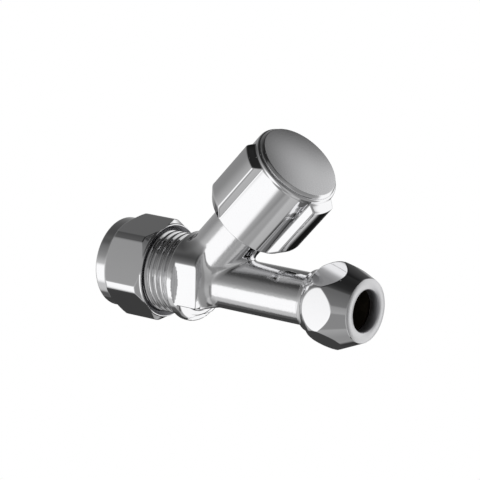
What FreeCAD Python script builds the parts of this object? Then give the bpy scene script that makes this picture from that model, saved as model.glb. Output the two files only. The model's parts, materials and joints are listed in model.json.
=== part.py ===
import FreeCAD, Part
import math
import os
import Sketcher
from types import SimpleNamespace

# Straight isolating valve with an inclined seat, for a 15 mm pipe in and a 10 mm pipe out.
# Frame: +X runs along the pipes from the inlet to the outlet, +Z is up.
# The origin is where the straight wall of the inlet socket starts, on the pipe axis.
# The branch and all that is on it lean over the outlet, in the XZ plane.

# Driving dimensions: millimetres, and degrees where the name says angle.
DIMENSIONS = {
    # Body, along the pipe axis
    "inlet_reach": 14.7,
    "outlet_reach": 44.0,
    "inlet_thread_radius": 10.4,
    "inlet_thread_end": 12.7,
    "inlet_thread_pitch": 1.814,
    "inlet_thread_depth": 0.75,
    "shoulder_radius": 9.7,
    "block_start": 13.1,
    "block_length": 8.7,
    "block_radius": 11.45,
    "block_flats": 20.0,
    "block_flats_start": 2.0,
    "block_bevel": 0.9,
    "block_slope_reach": 8.9,
    "block_slope_rise": 4.4,
    "neck_flare_radius": 9.9,
    "neck_flare_length": 3.6,
    "tube_radius": 6.6,
    "outlet_thread_radius": 6.6,
    "outlet_thread_length": 7.5,
    "outlet_thread_pitch": 1.337,
    "outlet_thread_depth": 0.5,
    "edge_bevel": 0.5,
    # Ways through the body
    "inlet_pipe_radius": 7.5,
    "outlet_pipe_radius": 5.0,
    "pipe_clearance": 0.1,
    "inlet_socket_depth": 9.2,
    "outlet_socket_depth": 8.2,
    "inlet_way_radius": 4.2,
    "outlet_way_radius": 3.7,
    "outlet_way_start": 5.5,
    "mouth_depth": 1.8,
    "mouth_flare": 1.0,
    # Branch, measured from where its axis crosses the pipe axis
    "branch_angle": 47.5,
    "branch_radius": 7.45,
    "branch_top": 27.0,
    "branch_bevel": 0.4,
    "seat_height": 3.4,
    "seat_way_radius": 3.1,
    "seat_way_start": 5.0,
    "seat_lip_width": 0.7,
    "seat_lip_height": 0.5,
    "chamber_radius": 5.2,
    "bonnet_bore_radius": 6.0,
    "bonnet_bore_start": 10.8,
    # Inlet compression nut and olive
    "inlet_nut_start": -9.8,
    "inlet_nut_end": 5.7,
    "inlet_nut_flats": 23.4,
    "inlet_nut_corner_radius": 13.05,
    "inlet_nut_turn_angle": 13.7,
    "inlet_collar_length": 3.6,
    "inlet_collar_radius": 11.4,
    "inlet_nut_wall": 3.2,
    "nut_hole_clearance": 0.25,
    "nut_thread_clearance": 0.1,
    "nut_bevel": 1.1,
    "inlet_olive_length": 4.6,
    "outlet_olive_length": 4.6,
    "olive_wall": 1.15,
    "olive_waist": 0.55,
    "olive_gap": 0.4,
    # Outlet compression nut
    "outlet_nut_start": 36.4,
    "outlet_nut_end": 51.8,
    "outlet_nut_flats": 19.0,
    "outlet_nut_turn_angle": 24.6,
    "outlet_nut_wall": 2.6,
    "outlet_collar_radius": 7.85,
    "outlet_collar_length": 1.5,
    "outlet_shoulder_length": 1.9,
    "outlet_corner_radius": 10.95,
    "outlet_corner_start": 6.2,
    "outlet_corner_length": 2.0,
    "outlet_ring_radius": 7.95,
    # Headwork: bonnet
    "bonnet_bottom": 11.1,
    "bonnet_clearance": 0.08,
    "bonnet_neck_radius": 5.2,
    "bonnet_neck_start": 23.2,
    "bonnet_seal_thickness": 0.8,
    "bonnet_hex_flats": 15.0,
    "bonnet_hex_height": 3.6,
    "bonnet_nose_radius": 5.0,
    "bonnet_top": 33.4,
    "guide_radius": 4.36,
    "guide_top": 17.5,
    "broach_flats": 7.1,
    "shoulder_height": 26.8,
    "stem_radius": 2.5,
    "stem_clearance": 0.05,
    # Headwork: spindle
    "spindle_bottom": 13.1,
    "spindle_thread_top": 23.0,
    "spindle_thread_radius": 2.5,
    "spindle_thread_clearance": 0.1,
    "thrust_collar_radius": 3.4,
    "thrust_collar_height": 1.4,
    "thrust_washer_thickness": 0.6,
    "thrust_gap": 0.06,
    "ring_cord_radius": 0.45,
    "ring_groove_width": 1.1,
    "ring_groove_depth": 1.0,
    "lower_ring_height": 29.0,
    "upper_ring_height": 31.2,
    "clip_thickness": 0.5,
    "clip_lift": 0.15,
    "clip_groove_depth": 0.45,
    "clip_radius": 3.9,
    "clip_mouth_angle": 50.0,
    "square_start": 35.0,
    "square_top": 40.0,
    "square_side": 3.5,
    "square_clearance": 0.05,
    "tapped_hole_radius": 1.25,
    "tapped_hole_depth": 6.5,
    # Headwork: plunger and seat washer, drawn fully open
    "lift": 3.0,
    "seat_washer_gap": 0.15,
    "seat_washer_radius": 4.1,
    "seat_washer_thickness": 1.8,
    "washer_screw_radius": 1.1,
    "washer_screw_head_radius": 1.8,
    "washer_screw_head_height": 1.0,
    "washer_screw_length": 4.6,
    "retainer_radius": 2.4,
    "retainer_thickness": 0.4,
    "cup_radius": 4.65,
    "cup_rim_height": 0.9,
    "cup_height": 2.0,
    "plunger_radius": 4.3,
    "plunger_top": 22.0,
    "plunger_hex_flats": 7.0,
    "plunger_bore_floor": 12.9,
    "plunger_ring_height": 15.7,
    "plunger_ring_cord_radius": 0.5,
    # Handle
    "handle_bottom": 24.2,
    "handle_rim": 44.9,
    "handle_radius": 11.5,
    "handle_wall": 1.5,
    "handle_plate_height": 40.2,
    "handle_plate_thickness": 1.4,
    "rim_round": 0.6,
    "lobe_radius": 13.5,
    "lobe_half_angle": 16.6,
    "lobe_root_half_angle": 25.9,
    "lobe_top": 42.7,
    "lobe_top_rise": 1.0,
    "lobe_bottom": 27.2,
    "hub_radius": 6.6,
    "insert_flats": 9.0,
    "insert_clearance": 0.05,
    "insert_bottom": 35.2,
    "cap_radius": 10.95,
    "cap_face_radius": 10.45,
    "cap_height": 1.05,
    "cap_crown": 0.15,
    "cap_edge": 0.2,
    "cap_clearance": 0.06,
    "cap_skirt_radius": 9.2,
    "cap_skirt_wall": 1.0,
    "cap_skirt_depth": 1.7,
    "screw_radius": 1.2,
    "screw_hole_radius": 1.7,
    "screw_length": 6.4,
    "screw_head_radius": 2.7,
    "screw_head_height": 1.5,
    "screw_washer_radius": 3.4,
    "screw_washer_thickness": 0.5,
    "screw_slot_width": 0.8,
    "screw_slot_depth": 0.7,
}

doc = FreeCAD.newDocument("isolating_valve")
sheet = doc.addObject("Spreadsheet::Sheet", "Sizes")


class Size:
    """A size with its value and the sheet expression that gives it."""

    def __init__(self, value, text):
        self.value = value
        self.text = text

    def joined(self, other, sign, value):
        """This size and another, joined by an arithmetic sign."""
        return Size(value, "(%s %s %s)" % (self.text, sign, size_of(other).text))

    def __add__(self, other):
        return self.joined(other, "+", self.value + size_of(other).value)

    def __radd__(self, other):
        return size_of(other) + self

    def __sub__(self, other):
        return self.joined(other, "-", self.value - size_of(other).value)

    def __rsub__(self, other):
        return size_of(other) - self

    def __mul__(self, other):
        return self.joined(other, "*", self.value * size_of(other).value)

    def __rmul__(self, other):
        return size_of(other) * self

    def __truediv__(self, other):
        return self.joined(other, "/", self.value / size_of(other).value)

    def __neg__(self):
        return size_of(0) - self


def size_of(thing):
    """A plain number or a size, as a size."""
    if isinstance(thing, Size):
        return thing
    return Size(float(thing), "%.9g" % thing)


def sine(angle):
    """Sine of an angle in degrees."""
    return Size(math.sin(math.radians(angle.value)), "sin(%s * 1 deg)" % angle.text)


def cosine(angle):
    """Cosine of an angle in degrees."""
    return Size(math.cos(math.radians(angle.value)), "cos(%s * 1 deg)" % angle.text)


for row, (word, number) in enumerate(DIMENSIONS.items(), start=1):
    sheet.set("A%d" % row, word)
    sheet.set("B%d" % row, str(number))
    sheet.setAlias("B%d" % row, word)
doc.recompute()
d = SimpleNamespace(**{word: Size(number, "Sizes." + word) for word, number in DIMENSIONS.items()})

PIPE_AXIS = FreeCAD.Rotation(FreeCAD.Vector(0, 1, 0), 90)
SQRT3 = math.sqrt(3)
crossing = FreeCAD.Vector(d.inlet_reach.value, 0, 0)
spindle_turn = FreeCAD.Rotation(FreeCAD.Vector(0, 1, 0), 90 - d.branch_angle.value)
subparts = []


def new_body(name, on_spindle=False, along_pipe=False):
    """A named sub-part, drawn about its own Z axis and placed on the spindle or the pipe axis."""
    body = doc.addObject("PartDesign::Body", name)
    body.Label = name
    if on_spindle:
        body.Placement = FreeCAD.Placement(crossing, spindle_turn)
        body.setExpression("Placement.Base.x", d.inlet_reach.text)
        body.setExpression("Placement.Rotation.Angle", "90 - " + d.branch_angle.text)
    if along_pipe:
        body.Placement = FreeCAD.Placement(FreeCAD.Vector(0, 0, 0), PIPE_AXIS)
    subparts.append(body)
    return body


def origin_plane(body, role):
    """One of the body's own origin planes."""
    return [feature for feature in body.Origin.OriginFeatures if feature.Role == role][0]


def new_sketch(body, name, role="XZ_Plane", offset=0, turn=0, along=0):
    """A sketch on an origin plane, lifted by offset, moved along its own x and turned."""
    sketch = body.newObject("Sketcher::SketchObject", name)
    sketch.AttachmentSupport = [(origin_plane(body, role), "")]
    sketch.MapMode = "FlatFace"
    lift = size_of(offset)
    shift = size_of(along)
    angle = size_of(turn)
    rotation = FreeCAD.Rotation(FreeCAD.Vector(0, 0, 1), angle.value)
    sketch.AttachmentOffset = FreeCAD.Placement(FreeCAD.Vector(shift.value, 0, lift.value), rotation)
    if isinstance(offset, Size):
        sketch.setExpression("AttachmentOffset.Base.z", lift.text)
    if isinstance(along, Size):
        sketch.setExpression("AttachmentOffset.Base.x", shift.text)
    if isinstance(turn, Size):
        sketch.setExpression("AttachmentOffset.Rotation.Angle", angle.text)
    return sketch


def fix_point(sketch, line, place, x, y):
    """Hold a line's end at x and y, each a size or zero."""
    for coordinate, kind, axis in ((x, "DistanceX", -2), (y, "DistanceY", -1)):
        size = size_of(coordinate)
        if not isinstance(coordinate, Size) and coordinate == 0:
            sketch.addConstraint(Sketcher.Constraint("PointOnObject", line, place, axis))
            continue
        index = sketch.addConstraint(Sketcher.Constraint(kind, -1, 1, line, place, size.value))
        sketch.setExpression("Constraints[%d]" % index, size.text)


def outline(sketch, points):
    """A closed outline of straight lines through points given as sizes."""
    corners = [FreeCAD.Vector(size_of(x).value, size_of(y).value, 0) for x, y in points]
    count = len(corners)
    lines = [sketch.addGeometry(Part.LineSegment(corners[i], corners[(i + 1) % count]), False)
             for i in range(count)]
    for i in range(count):
        sketch.addConstraint(Sketcher.Constraint("Coincident", lines[i], 2, lines[(i + 1) % count], 1))
    for line, (x, y) in zip(lines, points):
        fix_point(sketch, line, 1, x, y)


def circle(sketch, radius):
    """A circle about the sketch's origin."""
    ring = sketch.addGeometry(Part.Circle(FreeCAD.Vector(0, 0, 0), FreeCAD.Vector(0, 0, 1), radius.value))
    sketch.addConstraint(Sketcher.Constraint("Coincident", ring, 3, -1, 1))
    index = sketch.addConstraint(Sketcher.Constraint("Radius", ring, radius.value))
    sketch.setExpression("Constraints[%d]" % index, radius.text)


def turned(body, name, points, cut=False, axis="V_Axis", **place):
    """A profile turned a full circle, added or cut: points are (out, up), or (along, out) about H_Axis."""
    sketch = new_sketch(body, name + "_profile", "XZ_Plane", **place)
    outline(sketch, points)
    kind = "PartDesign::Groove" if cut else "PartDesign::Revolution"
    feature = body.newObject(kind, name)
    feature.Profile = sketch
    feature.ReferenceAxis = (sketch, [axis])
    feature.Angle = 360
    sketch.Visibility = False
    return feature


def ring_of_cord(body, name, radius, height, cord):
    """A round rubber ring: a circle of cord turned about the axis."""
    sketch = new_sketch(body, name + "_profile")
    centre = FreeCAD.Vector(radius.value, height.value, 0)
    section = sketch.addGeometry(Part.Circle(centre, FreeCAD.Vector(0, 0, 1), cord.value))
    fix_point(sketch, section, 3, radius, height)
    index = sketch.addConstraint(Sketcher.Constraint("Radius", section, cord.value))
    sketch.setExpression("Constraints[%d]" % index, cord.text)
    feature = body.newObject("PartDesign::Revolution", name)
    feature.Profile = sketch
    feature.ReferenceAxis = (sketch, ["V_Axis"])
    feature.Angle = 360
    return feature


def polygon_points(flats, sides=6):
    """Corners of a regular polygon of a given width across flats, a flat facing each axis side."""
    half = flats / 2
    points = []
    for k in range(sides):
        angle = math.pi * (2 * k + 1) / sides
        reach = 1 / math.cos(math.pi / sides)
        points.append((half * (reach * math.cos(angle)), half * (reach * math.sin(angle))))
    return points


def padded(body, name, points, start, length, role="XY_Plane", cut=False, turn=0):
    """An outline pulled up from start by length, added or cut."""
    sketch = new_sketch(body, name + "_profile", role, offset=start, turn=turn)
    outline(sketch, points)
    feature = body.newObject("PartDesign::Pocket" if cut else "PartDesign::Pad", name)
    feature.Profile = sketch
    feature.Length = length.value
    feature.setExpression("Length", length.text)
    feature.Reversed = cut
    return feature


def tube_points(inner, outer, bottom, top):
    """Section of a plain ring."""
    return [(inner, bottom), (outer, bottom), (outer, top), (inner, top)]


def thread_grooves(body, name, radius, start, length, pitch, depth):
    """Ring grooves for a visible outside thread, about the pipe axis of the body."""
    half = pitch / 2
    groove = turned(body, name, [
        (start, radius + depth),
        (start + half, radius - depth),
        (start + pitch, radius + depth),
    ], cut=True, axis="H_Axis")
    pattern = body.newObject("PartDesign::LinearPattern", name + "_row")
    pattern.Originals = [groove]
    pattern.Direction = (origin_plane(body, "X_Axis"), [""])
    count = int((length.value - pitch.value) / pitch.value) + 1
    pattern.Length = pitch.value * (count - 1)
    pattern.setExpression("Length", (pitch * (count - 1)).text)
    pattern.Occurrences = count
    body.Tip = pattern
    return pattern


def hexagon_bevel(body, name, flats, face, depth, inward, axis="V_Axis"):
    """Bevel the corners of a hexagon towards one of its end faces."""
    corner = flats * (1 / SQRT3) + 1
    edge = flats / 2 - depth * 0.2
    far = face - inward * 1
    tip = face + inward * depth
    points = [(edge, face), (corner, tip + inward * (corner - edge) * 0.2), (corner, far), (edge, far)]
    if axis == "H_Axis":
        points = [(y, x) for x, y in points]
    return turned(body, name, points, cut=True, axis=axis)


def spanner_block(body):
    """Turned flange with four flats, flared into the tube and sloped away below on that side."""
    half = d.block_flats / 2
    start = d.block_start
    end = start + d.block_length
    flats_start = start + d.block_flats_start
    flare = d.neck_flare_length
    fall = d.neck_flare_radius - d.tube_radius
    outer = d.block_radius
    bevel = d.block_bevel
    turned(body, "flange", [
        (start, 0),
        (start, outer - bevel),
        (start + bevel * 0.3, outer - bevel * 0.3),
        (start + bevel, outer),
        (end - bevel, outer),
        (end, outer - bevel),
        (end, 0),
    ], axis="H_Axis")
    far = outer + 1
    for side, (left, right, low, high) in {
        "top": (-far, far, half, far),
        "bottom": (-far, far, -far, -half),
        "front": (-far, -half, -far, far),
        "rear": (half, far, -far, far),
    }.items():
        padded(body, side + "_flat", [(left, low), (right, low), (right, high), (left, high)],
               flats_start, d.block_length, "YZ_Plane", cut=True)
    turned(body, "neck_flare", [
        (end - 1, 0),
        (end - 1, d.neck_flare_radius),
        (end, d.neck_flare_radius),
        (end + flare * 0.13, d.neck_flare_radius - fall * 0.5),
        (end + flare * 0.4, d.neck_flare_radius - fall * 0.8),
        (end + flare * 0.7, d.neck_flare_radius - fall * 0.95),
        (end + flare, d.tube_radius),
        (end + flare, 0),
    ], axis="H_Axis")
    crossing_x = d.inlet_reach
    slope_top = -(half * 0.57)
    slope_bottom = slope_top - d.block_slope_rise
    sketch = new_sketch(body, "lower_slope_profile", "XZ_Plane", offset=-half - 1)
    reach = crossing_x + d.block_slope_reach
    outline(sketch, [
        (reach, slope_top),
        (reach + 4, slope_top),
        (reach + 4, slope_bottom - 1),
        (reach - (d.block_slope_rise + 1) * 1.1, slope_bottom - 1),
    ])
    slope = body.newObject("PartDesign::Pocket", "lower_slope")
    slope.Profile = sketch
    slope.Length = (d.block_flats + 2).value
    slope.setExpression("Length", (d.block_flats + 2).text)
    slope.Reversed = True


# Body: one forging with both pipe ends, the spanner block, the tube and the inclined branch
def make_valve_body():
    body = new_body("valve_body")
    thread_end = d.inlet_thread_end
    crossing_x = d.inlet_reach
    outlet_end = crossing_x + d.outlet_reach
    outlet_thread_start = outlet_end - d.outlet_thread_length
    spanner_block(body)
    turned(body, "pipe_ends", [
        (-d.mouth_depth, 0),
        (-d.mouth_depth, d.inlet_thread_radius - d.edge_bevel),
        (d.edge_bevel - d.mouth_depth, d.inlet_thread_radius),
        (thread_end - d.edge_bevel, d.inlet_thread_radius),
        (thread_end, d.shoulder_radius),
        (d.block_start + 1, d.shoulder_radius),
        (d.block_start + 1, d.tube_radius),
        (outlet_thread_start - d.edge_bevel, d.tube_radius),
        (outlet_thread_start, d.outlet_thread_radius),
        (outlet_end - d.edge_bevel, d.outlet_thread_radius),
        (outlet_end, d.outlet_thread_radius - d.edge_bevel),
        (outlet_end, 0),
    ], axis="H_Axis")
    turned(body, "branch", [
        (0, 0),
        (0, d.tube_radius - 0.2),
        (d.tube_radius, d.branch_radius),
        (d.branch_top - d.branch_bevel, d.branch_radius),
        (d.branch_top, d.branch_radius - d.branch_bevel),
        (d.branch_top, 0),
    ], axis="H_Axis", along=crossing_x, turn=d.branch_angle)
    thread_grooves(body, "inlet_thread", d.inlet_thread_radius, d.edge_bevel - d.mouth_depth,
                   thread_end + d.mouth_depth - d.edge_bevel * 2, d.inlet_thread_pitch, d.inlet_thread_depth)
    thread_grooves(body, "outlet_thread", d.outlet_thread_radius, outlet_thread_start + d.edge_bevel,
                   d.outlet_thread_length - d.edge_bevel * 2, d.outlet_thread_pitch,
                   d.outlet_thread_depth)
    return body, outlet_end


def cut_ways(body, outlet_end):
    """Sockets, flow ways, seat, chamber and bonnet bore."""
    inlet_bore = d.inlet_pipe_radius + d.pipe_clearance
    outlet_bore = d.outlet_pipe_radius + d.pipe_clearance
    way_end = d.inlet_reach - d.seat_way_start * cosine(d.branch_angle)
    turned(body, "inlet_way", [
        (-d.mouth_depth - 1, 0),
        (-d.mouth_depth - 1, inlet_bore + d.mouth_flare),
        (-d.mouth_depth, inlet_bore + d.mouth_flare),
        (0, inlet_bore),
        (d.inlet_socket_depth, inlet_bore),
        (d.inlet_socket_depth, d.inlet_way_radius),
        (way_end + d.seat_way_radius * 0.4, d.inlet_way_radius),
        (way_end + d.seat_way_radius * 0.9, 0),
    ], cut=True, axis="H_Axis")
    turned(body, "outlet_way", [
        (d.inlet_reach + d.outlet_way_start, 0),
        (d.inlet_reach + d.outlet_way_start, d.outlet_way_radius),
        (outlet_end - d.mouth_depth - d.outlet_socket_depth, d.outlet_way_radius),
        (outlet_end - d.mouth_depth - d.outlet_socket_depth, outlet_bore),
        (outlet_end - d.mouth_depth, outlet_bore),
        (outlet_end, outlet_bore + d.mouth_flare),
        (outlet_end + 1, outlet_bore + d.mouth_flare),
        (outlet_end + 1, 0),
    ], cut=True, axis="H_Axis")
    seat_outer = d.seat_way_radius + d.seat_lip_width
    turned(body, "seat_and_chamber", [
        (-d.seat_way_start, 0),
        (-d.seat_way_start, d.seat_way_radius * 0.6),
        (-(d.seat_way_start * 0.6), d.seat_way_radius),
        (d.seat_height, d.seat_way_radius),
        (d.seat_height, seat_outer),
        (d.seat_height - d.seat_lip_height, seat_outer),
        (d.seat_height - d.seat_lip_height, d.chamber_radius),
        (d.bonnet_bore_start, d.chamber_radius),
        (d.bonnet_bore_start, d.bonnet_bore_radius),
        (d.branch_top + 1, d.bonnet_bore_radius),
        (d.branch_top + 1, 0),
    ], cut=True, axis="H_Axis", along=d.inlet_reach, turn=d.branch_angle)


def make_compression_nut(name, start, end, flats, turn, wall, hole, thread, collar, taper):
    """A cap nut about the pipe axis, its wall at the far end from the body; shape is set by taper."""
    body = new_body(name, along_pipe=True)
    length = end - start
    padded(body, "hexagon", polygon_points(flats), start, length, turn=turn)
    taper(body)
    turned(body, "pipe_hole", [(0, start - 1), (hole, start - 1), (hole, end + 1), (0, end + 1)], cut=True)
    mouth, floor, side = collar
    turned(body, "thread_bore", [
        (0, floor),
        (thread, floor),
        (thread, mouth - side * 0.6),
        (thread + 0.6, mouth),
        (thread + 0.6, mouth + side),
        (0, mouth + side),
    ], cut=True)
    return body


def make_inlet_nut():
    """Hexagon with bevelled corners behind and a turned collar at the pipe's side."""
    start = d.inlet_nut_start
    end = d.inlet_nut_end
    flats = d.inlet_nut_flats
    collar_end = start + d.inlet_collar_length
    corner = flats * (1 / SQRT3) + 1
    rise = d.inlet_nut_corner_radius - d.inlet_collar_radius

    def shape(body):
        turned(body, "turned_outside", [
            (d.inlet_collar_radius - d.edge_bevel, start - 1),
            (d.inlet_collar_radius - d.edge_bevel, start),
            (d.inlet_collar_radius, start + d.edge_bevel),
            (d.inlet_collar_radius, collar_end),
            (d.inlet_nut_corner_radius, collar_end + rise * 0.6),
            (d.inlet_nut_corner_radius, end + 1),
            (corner, end + 1),
            (corner, start - 1),
        ], cut=True)
        hexagon_bevel(body, "mouth_bevel", flats, end, d.nut_bevel, -1)

    hole = d.inlet_pipe_radius + d.nut_hole_clearance
    thread = d.inlet_thread_radius + d.nut_thread_clearance
    collar = (end, start + d.inlet_nut_wall, 1)
    return make_compression_nut("inlet_nut", start, end, flats, d.inlet_nut_turn_angle,
                                d.inlet_nut_wall, hole, thread, collar, shape)


def make_outlet_nut():
    """Hexagon between two turned cones, with a flat ring at the pipe's side and a collar behind."""
    start = d.inlet_reach + d.outlet_nut_start
    end = d.inlet_reach + d.outlet_nut_end
    flats = d.outlet_nut_flats
    corner = flats * (1 / SQRT3) + 1
    peak_start = start + d.outlet_corner_start
    peak_end = peak_start + d.outlet_corner_length
    collar_end = start + d.outlet_collar_length
    shoulder_end = collar_end + d.outlet_shoulder_length
    rise = d.outlet_corner_radius - flats / 2

    def shape(body):
        turned(body, "double_cone", [
            (d.outlet_collar_radius - d.edge_bevel * 0.5, start - 1),
            (d.outlet_collar_radius - d.edge_bevel * 0.5, start),
            (d.outlet_collar_radius, start + d.edge_bevel * 0.5),
            (d.outlet_collar_radius + d.edge_bevel * 0.4, collar_end),
            (flats / 2, shoulder_end),
            (flats / 2 + rise * 0.55, shoulder_end + (peak_start - shoulder_end) * 0.35),
            (flats / 2 + rise * 0.87, shoulder_end + (peak_start - shoulder_end) * 0.7),
            (d.outlet_corner_radius, peak_start),
            (d.outlet_corner_radius, peak_end),
            (d.outlet_ring_radius, end),
            (d.outlet_ring_radius, end + 1),
            (corner, end + 1),
            (corner, start - 1),
        ], cut=True)

    hole = d.outlet_pipe_radius + d.nut_hole_clearance
    thread = d.outlet_thread_radius + d.nut_thread_clearance
    collar = (start, end - d.outlet_nut_wall, -1)
    return make_compression_nut("outlet_nut", start, end, flats, d.outlet_nut_turn_angle,
                                d.outlet_nut_wall, hole, thread, collar, shape)


def make_olive(name, pipe_radius, near, far):
    """A brass olive: a ring with a cone at each end and a shallow waist, between near and far."""
    body = new_body(name, along_pipe=True)
    inner = pipe_radius + d.pipe_clearance
    outer = inner + d.olive_wall
    length = far - near
    turned(body, "double_cone_ring", [
        (inner, near),
        (inner + d.olive_wall * 0.35, near),
        (outer, near + length * 0.3),
        (outer - d.olive_waist * 0.4, near + length * 0.5),
        (outer, near + length * 0.7),
        (inner + d.olive_wall * 0.35, far),
        (inner, far),
    ])
    return body


def make_bonnet():
    """Turned headwork housing with a hexagon, a guide for the plunger and a bore for the stem."""
    body = new_body("bonnet", on_spindle=True)
    thread = d.bonnet_bore_radius - d.bonnet_clearance
    hex_bottom = d.branch_top + d.bonnet_seal_thickness
    hex_top = hex_bottom + d.bonnet_hex_height
    turned(body, "housing", [
        (0, d.bonnet_bottom),
        (thread - d.edge_bevel, d.bonnet_bottom),
        (thread, d.bonnet_bottom + d.edge_bevel),
        (thread, d.bonnet_neck_start),
        (d.bonnet_neck_radius, d.bonnet_neck_start + d.edge_bevel),
        (d.bonnet_neck_radius, hex_bottom + d.edge_bevel),
        (d.bonnet_nose_radius, hex_bottom + d.edge_bevel),
        (d.bonnet_nose_radius, d.bonnet_top - d.edge_bevel),
        (d.bonnet_nose_radius - d.edge_bevel, d.bonnet_top),
        (0, d.bonnet_top),
    ])
    padded(body, "hexagon", polygon_points(d.bonnet_hex_flats), hex_bottom, d.bonnet_hex_height)
    hexagon_bevel(body, "hexagon_bevel", d.bonnet_hex_flats, hex_top, 0.6, -1)
    turned(body, "stem_bore", [
        (0, d.bonnet_bottom - 1),
        (d.guide_radius, d.bonnet_bottom - 1),
        (d.guide_radius, d.guide_top),
        (d.stem_radius + d.stem_clearance, d.guide_top),
        (d.stem_radius + d.stem_clearance, d.bonnet_top + 1),
        (0, d.bonnet_top + 1),
    ], cut=True)
    padded(body, "broached_guide", polygon_points(d.broach_flats), d.guide_top - 0.5,
           d.shoulder_height - d.guide_top + 0.5, cut=True)
    return body


def make_bonnet_seal():
    """Flat ring between the branch's end and the bonnet's hexagon."""
    body = new_body("bonnet_seal", on_spindle=True)
    turned(body, "ring", tube_points(d.bonnet_neck_radius + 0.15, d.branch_radius - d.branch_bevel,
                                     d.branch_top, d.branch_top + d.bonnet_seal_thickness))
    return body


def make_spindle():
    """Stem with a screw at its foot, a thrust collar, ring grooves, a clip groove and a square."""
    body = new_body("spindle", on_spindle=True)
    collar_top = d.shoulder_height - d.thrust_washer_thickness - d.thrust_gap * 2
    clip_floor = d.bonnet_top + d.clip_lift
    turned(body, "stem", [
        (0, d.spindle_bottom),
        (d.spindle_thread_radius - 0.4, d.spindle_bottom),
        (d.spindle_thread_radius, d.spindle_bottom + 0.4),
        (d.spindle_thread_radius, d.spindle_thread_top),
        (d.spindle_thread_radius - 0.4, d.spindle_thread_top + 0.4),
        (d.spindle_thread_radius - 0.4, collar_top - d.thrust_collar_height),
        (d.thrust_collar_radius, collar_top - d.thrust_collar_height),
        (d.thrust_collar_radius, collar_top),
        (d.stem_radius, collar_top),
        (d.stem_radius, d.square_start),
        (0, d.square_start),
    ])
    padded(body, "square", polygon_points(d.square_side, 4), d.square_start - 0.5,
           d.square_top - d.square_start + 0.5)
    for name, height in (("lower_groove", d.lower_ring_height), ("upper_groove", d.upper_ring_height)):
        half = d.ring_groove_width / 2
        turned(body, name, tube_points(d.stem_radius - d.ring_groove_depth, d.stem_radius + 1,
                                       height - half, height + half), cut=True)
    turned(body, "clip_groove", tube_points(d.stem_radius - d.clip_groove_depth, d.stem_radius + 1,
                                            clip_floor - 0.05, clip_floor + d.clip_thickness + 0.05),
           cut=True)
    turned(body, "tapped_hole", [
        (0, d.square_top - d.tapped_hole_depth),
        (d.tapped_hole_radius, d.square_top - d.tapped_hole_depth),
        (d.tapped_hole_radius, d.square_top + 1),
        (0, d.square_top + 1),
    ], cut=True)
    return body


def make_stem_ring(name, height):
    """Rubber ring in one of the stem's grooves."""
    body = new_body(name, on_spindle=True)
    ring_of_cord(body, "ring", d.stem_radius - d.ring_cord_radius, height, d.ring_cord_radius)
    return body


def make_thrust_washer():
    """Slide washer over the spindle's collar."""
    body = new_body("thrust_washer", on_spindle=True)
    top = d.shoulder_height - d.thrust_gap
    turned(body, "ring", tube_points(d.stem_radius + 0.05, d.thrust_collar_radius,
                                     top - d.thrust_washer_thickness, top))
    return body


def make_spindle_clip():
    """Open spring clip in the stem's groove, over the bonnet's top."""
    body = new_body("spindle_clip", on_spindle=True)
    bottom = d.bonnet_top + d.clip_lift
    inner = d.stem_radius - d.clip_groove_depth + 0.05
    turned(body, "ring", tube_points(inner, d.clip_radius, bottom, bottom + d.clip_thickness))
    reach = d.clip_radius * 1.5
    half = d.clip_mouth_angle / 2
    padded(body, "mouth", [(0, 0), (reach, -(reach * sine(half))), (reach, reach * sine(half))],
           bottom - 1, d.clip_thickness + 2, cut=True)
    return body


def plunger_levels():
    """Heights of the seat washer's face, its back, and the plunger's cup, fully open."""
    face = d.seat_height + d.seat_washer_gap + d.lift
    back = face + d.seat_washer_thickness
    return face, back, back + d.cup_height - d.cup_rim_height


def make_plunger():
    """Lifting plunger: cup for the seat washer, round foot with a ring, hexagon, threaded bore."""
    body = new_body("plunger", on_spindle=True)
    face, back, cup_top = plunger_levels()
    rim_inner = d.seat_washer_radius + 0.05
    turned(body, "foot", [
        (0, back),
        (rim_inner, back),
        (rim_inner, back - d.cup_rim_height),
        (d.cup_radius, back - d.cup_rim_height),
        (d.cup_radius, cup_top - 0.3),
        (d.plunger_radius, cup_top),
        (d.plunger_radius, d.guide_top - 0.4),
        (0, d.guide_top - 0.4),
    ])
    padded(body, "hexagon", polygon_points(d.plunger_hex_flats), d.guide_top - 0.9,
           d.plunger_top - d.guide_top + 0.9)
    half = d.plunger_ring_cord_radius + 0.1
    turned(body, "ring_groove", tube_points(
        d.plunger_radius - d.plunger_ring_cord_radius * 2 + 0.05, d.plunger_radius + 1,
        d.plunger_ring_height - half, d.plunger_ring_height + half), cut=True)
    screw = d.spindle_thread_radius + d.spindle_thread_clearance
    turned(body, "threaded_bore", [
        (0, d.plunger_bore_floor - 0.5),
        (screw, d.plunger_bore_floor),
        (screw, d.plunger_top + 1),
        (0, d.plunger_top + 1),
    ], cut=True)
    turned(body, "screw_hole", [
        (0, back - 1),
        (d.washer_screw_radius + 0.05, back - 1),
        (d.washer_screw_radius + 0.05, face + d.washer_screw_length),
        (0, face + d.washer_screw_length),
    ], cut=True)
    return body


def make_plunger_ring():
    """Rubber ring round the plunger's foot."""
    body = new_body("plunger_ring", on_spindle=True)
    cord = d.plunger_ring_cord_radius
    ring_of_cord(body, "ring", d.plunger_radius - cord + 0.03, d.plunger_ring_height, cord - 0.02)
    return body


def make_seat_washer():
    """Rubber seat washer in the plunger's cup."""
    body = new_body("seat_washer", on_spindle=True)
    face, back, _ = plunger_levels()
    turned(body, "disc", [
        (d.washer_screw_radius + 0.1, face),
        (d.seat_washer_radius - 0.3, face),
        (d.seat_washer_radius, face + 0.3),
        (d.seat_washer_radius, back),
        (d.washer_screw_radius + 0.1, back),
    ])
    return body


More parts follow.
